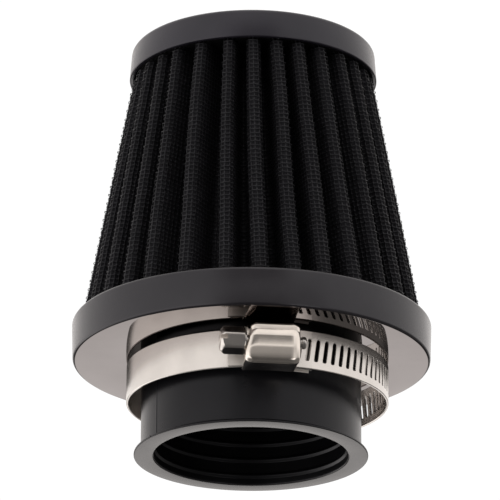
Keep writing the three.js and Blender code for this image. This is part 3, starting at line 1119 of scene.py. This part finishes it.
def make_world():
    """White to the camera. It lights the object as a studio does: a bright backdrop, soft light
    from the sides and from under the floor, a dark gap round the camera and darkness above."""
    world = bpy.data.worlds.new("studio")
    world.use_nodes = True
    bpy.context.scene.world = world
    tree = world.node_tree
    nodes, links = tree.nodes, tree.links
    nodes.clear()
    place = nodes.new("ShaderNodeTexCoord")
    split = nodes.new("ShaderNodeSeparateXYZ")
    links.new(place.outputs["Generated"], split.inputs[0])

    def calc(operation, *values):
        node = nodes.new("ShaderNodeMath")
        node.operation = operation
        for socket, value in zip(node.inputs, values):
            if isinstance(value, (int, float)):
                socket.default_value = value
            else:
                links.new(value, socket)
        return node.outputs[0]

    def ease(source, start, end):
        node = nodes.new("ShaderNodeMapRange")
        node.interpolation_type = "SMOOTHSTEP"
        node.inputs["From Min"].default_value = start
        node.inputs["From Max"].default_value = end
        links.new(source, node.inputs["Value"])
        return node.outputs["Result"]

    def by_height(stops):
        ramp = nodes.new("ShaderNodeValToRGB")
        set_stops(ramp, [((d + 90) / 180, (value / BRIGHTEST,) * 3) for d, value in stops])
        links.new(height, ramp.inputs["Fac"])
        return ramp.outputs["Color"]

    height = calc("ADD", calc("DIVIDE", calc("ARCSINE", split.outputs["Z"]), math.pi), 0.5)
    around = calc("ARCTAN2", split.outputs["X"], calc("MULTIPLY", split.outputs["Y"], -1))
    lights = [(around, *side) for side in SIDES]
    lights += [(calc("ABSOLUTE", around), *rear) for rear in REAR]
    light = by_height(FRONT_LIGHT)
    for angle, start, end, stops in lights:
        mix = nodes.new("ShaderNodeMix")
        mix.data_type = "RGBA"
        links.new(ease(angle, math.radians(start), math.radians(end)), mix.inputs[0])
        links.new(light, mix.inputs[6])
        links.new(by_height(stops), mix.inputs[7])
        light = mix.outputs[2]
    tint = nodes.new("ShaderNodeMix")
    tint.data_type = "RGBA"
    tint.blend_type = "MULTIPLY"
    tint.inputs[0].default_value = 1
    tint.inputs[7].default_value = (*WARM, 1)
    links.new(light, tint.inputs[6])
    lit = nodes.new("ShaderNodeBackground")
    lit.inputs["Strength"].default_value = BRIGHTEST
    links.new(tint.outputs[2], lit.inputs["Color"])
    seen = nodes.new("ShaderNodeBackground")
    seen.inputs["Color"].default_value = (1, 1, 1, 1)
    seen.inputs["Strength"].default_value = BACKDROP
    path = nodes.new("ShaderNodeLightPath")
    choose = nodes.new("ShaderNodeMixShader")
    links.new(path.outputs["Is Camera Ray"], choose.inputs["Fac"])
    links.new(lit.outputs[0], choose.inputs[1])
    links.new(seen.outputs[0], choose.inputs[2])
    links.new(choose.outputs[0], nodes.new("ShaderNodeOutputWorld").inputs["Surface"])


# The camera's distances are in metres, its angles in degrees and its lens in millimetres.
CAMERA_DISTANCE = 1.1872
CAMERA_ELEVATION = 19.937
CAMERA_ROLL = 0.3475  # beyond half a turn: the photograph shows the neck pointing down
CAMERA_LENS = 327.1
CAMERA_AIM = 0.0549  # height it looks at
CAMERA_SIDE = 0.00056


def make_camera():
    data = bpy.data.cameras.new("camera")
    data.sensor_width = 36
    data.lens = CAMERA_LENS
    data.clip_start, data.clip_end = 0.05, 30
    camera = bpy.data.objects.new("camera", data)
    bpy.context.scene.collection.objects.link(camera)
    elevation, roll = math.radians(CAMERA_ELEVATION), math.radians(CAMERA_ROLL)
    forward = Vector((0, math.cos(elevation), -math.sin(elevation)))
    right = Vector((-1, 0, 0))
    up = Vector((0, -math.sin(elevation), -math.cos(elevation)))
    x = math.cos(roll) * right + math.sin(roll) * up
    y = -math.sin(roll) * right + math.cos(roll) * up
    turn = Matrix((x, y, -forward)).transposed().to_4x4()
    place = Vector((CAMERA_SIDE, 0, CAMERA_AIM)) - forward * CAMERA_DISTANCE
    camera.matrix_world = Matrix.Translation(place) @ turn
    bpy.context.scene.camera = camera


make_camera()
make_world()
bpy.context.scene.view_settings.view_transform = "Standard"

make_end_cap()
make_cap_potting()
make_base_potting()
make_flange()
make_neck()
make_outer_screen()
make_media()
make_band()
make_housing()
make_saddle()
make_screw()
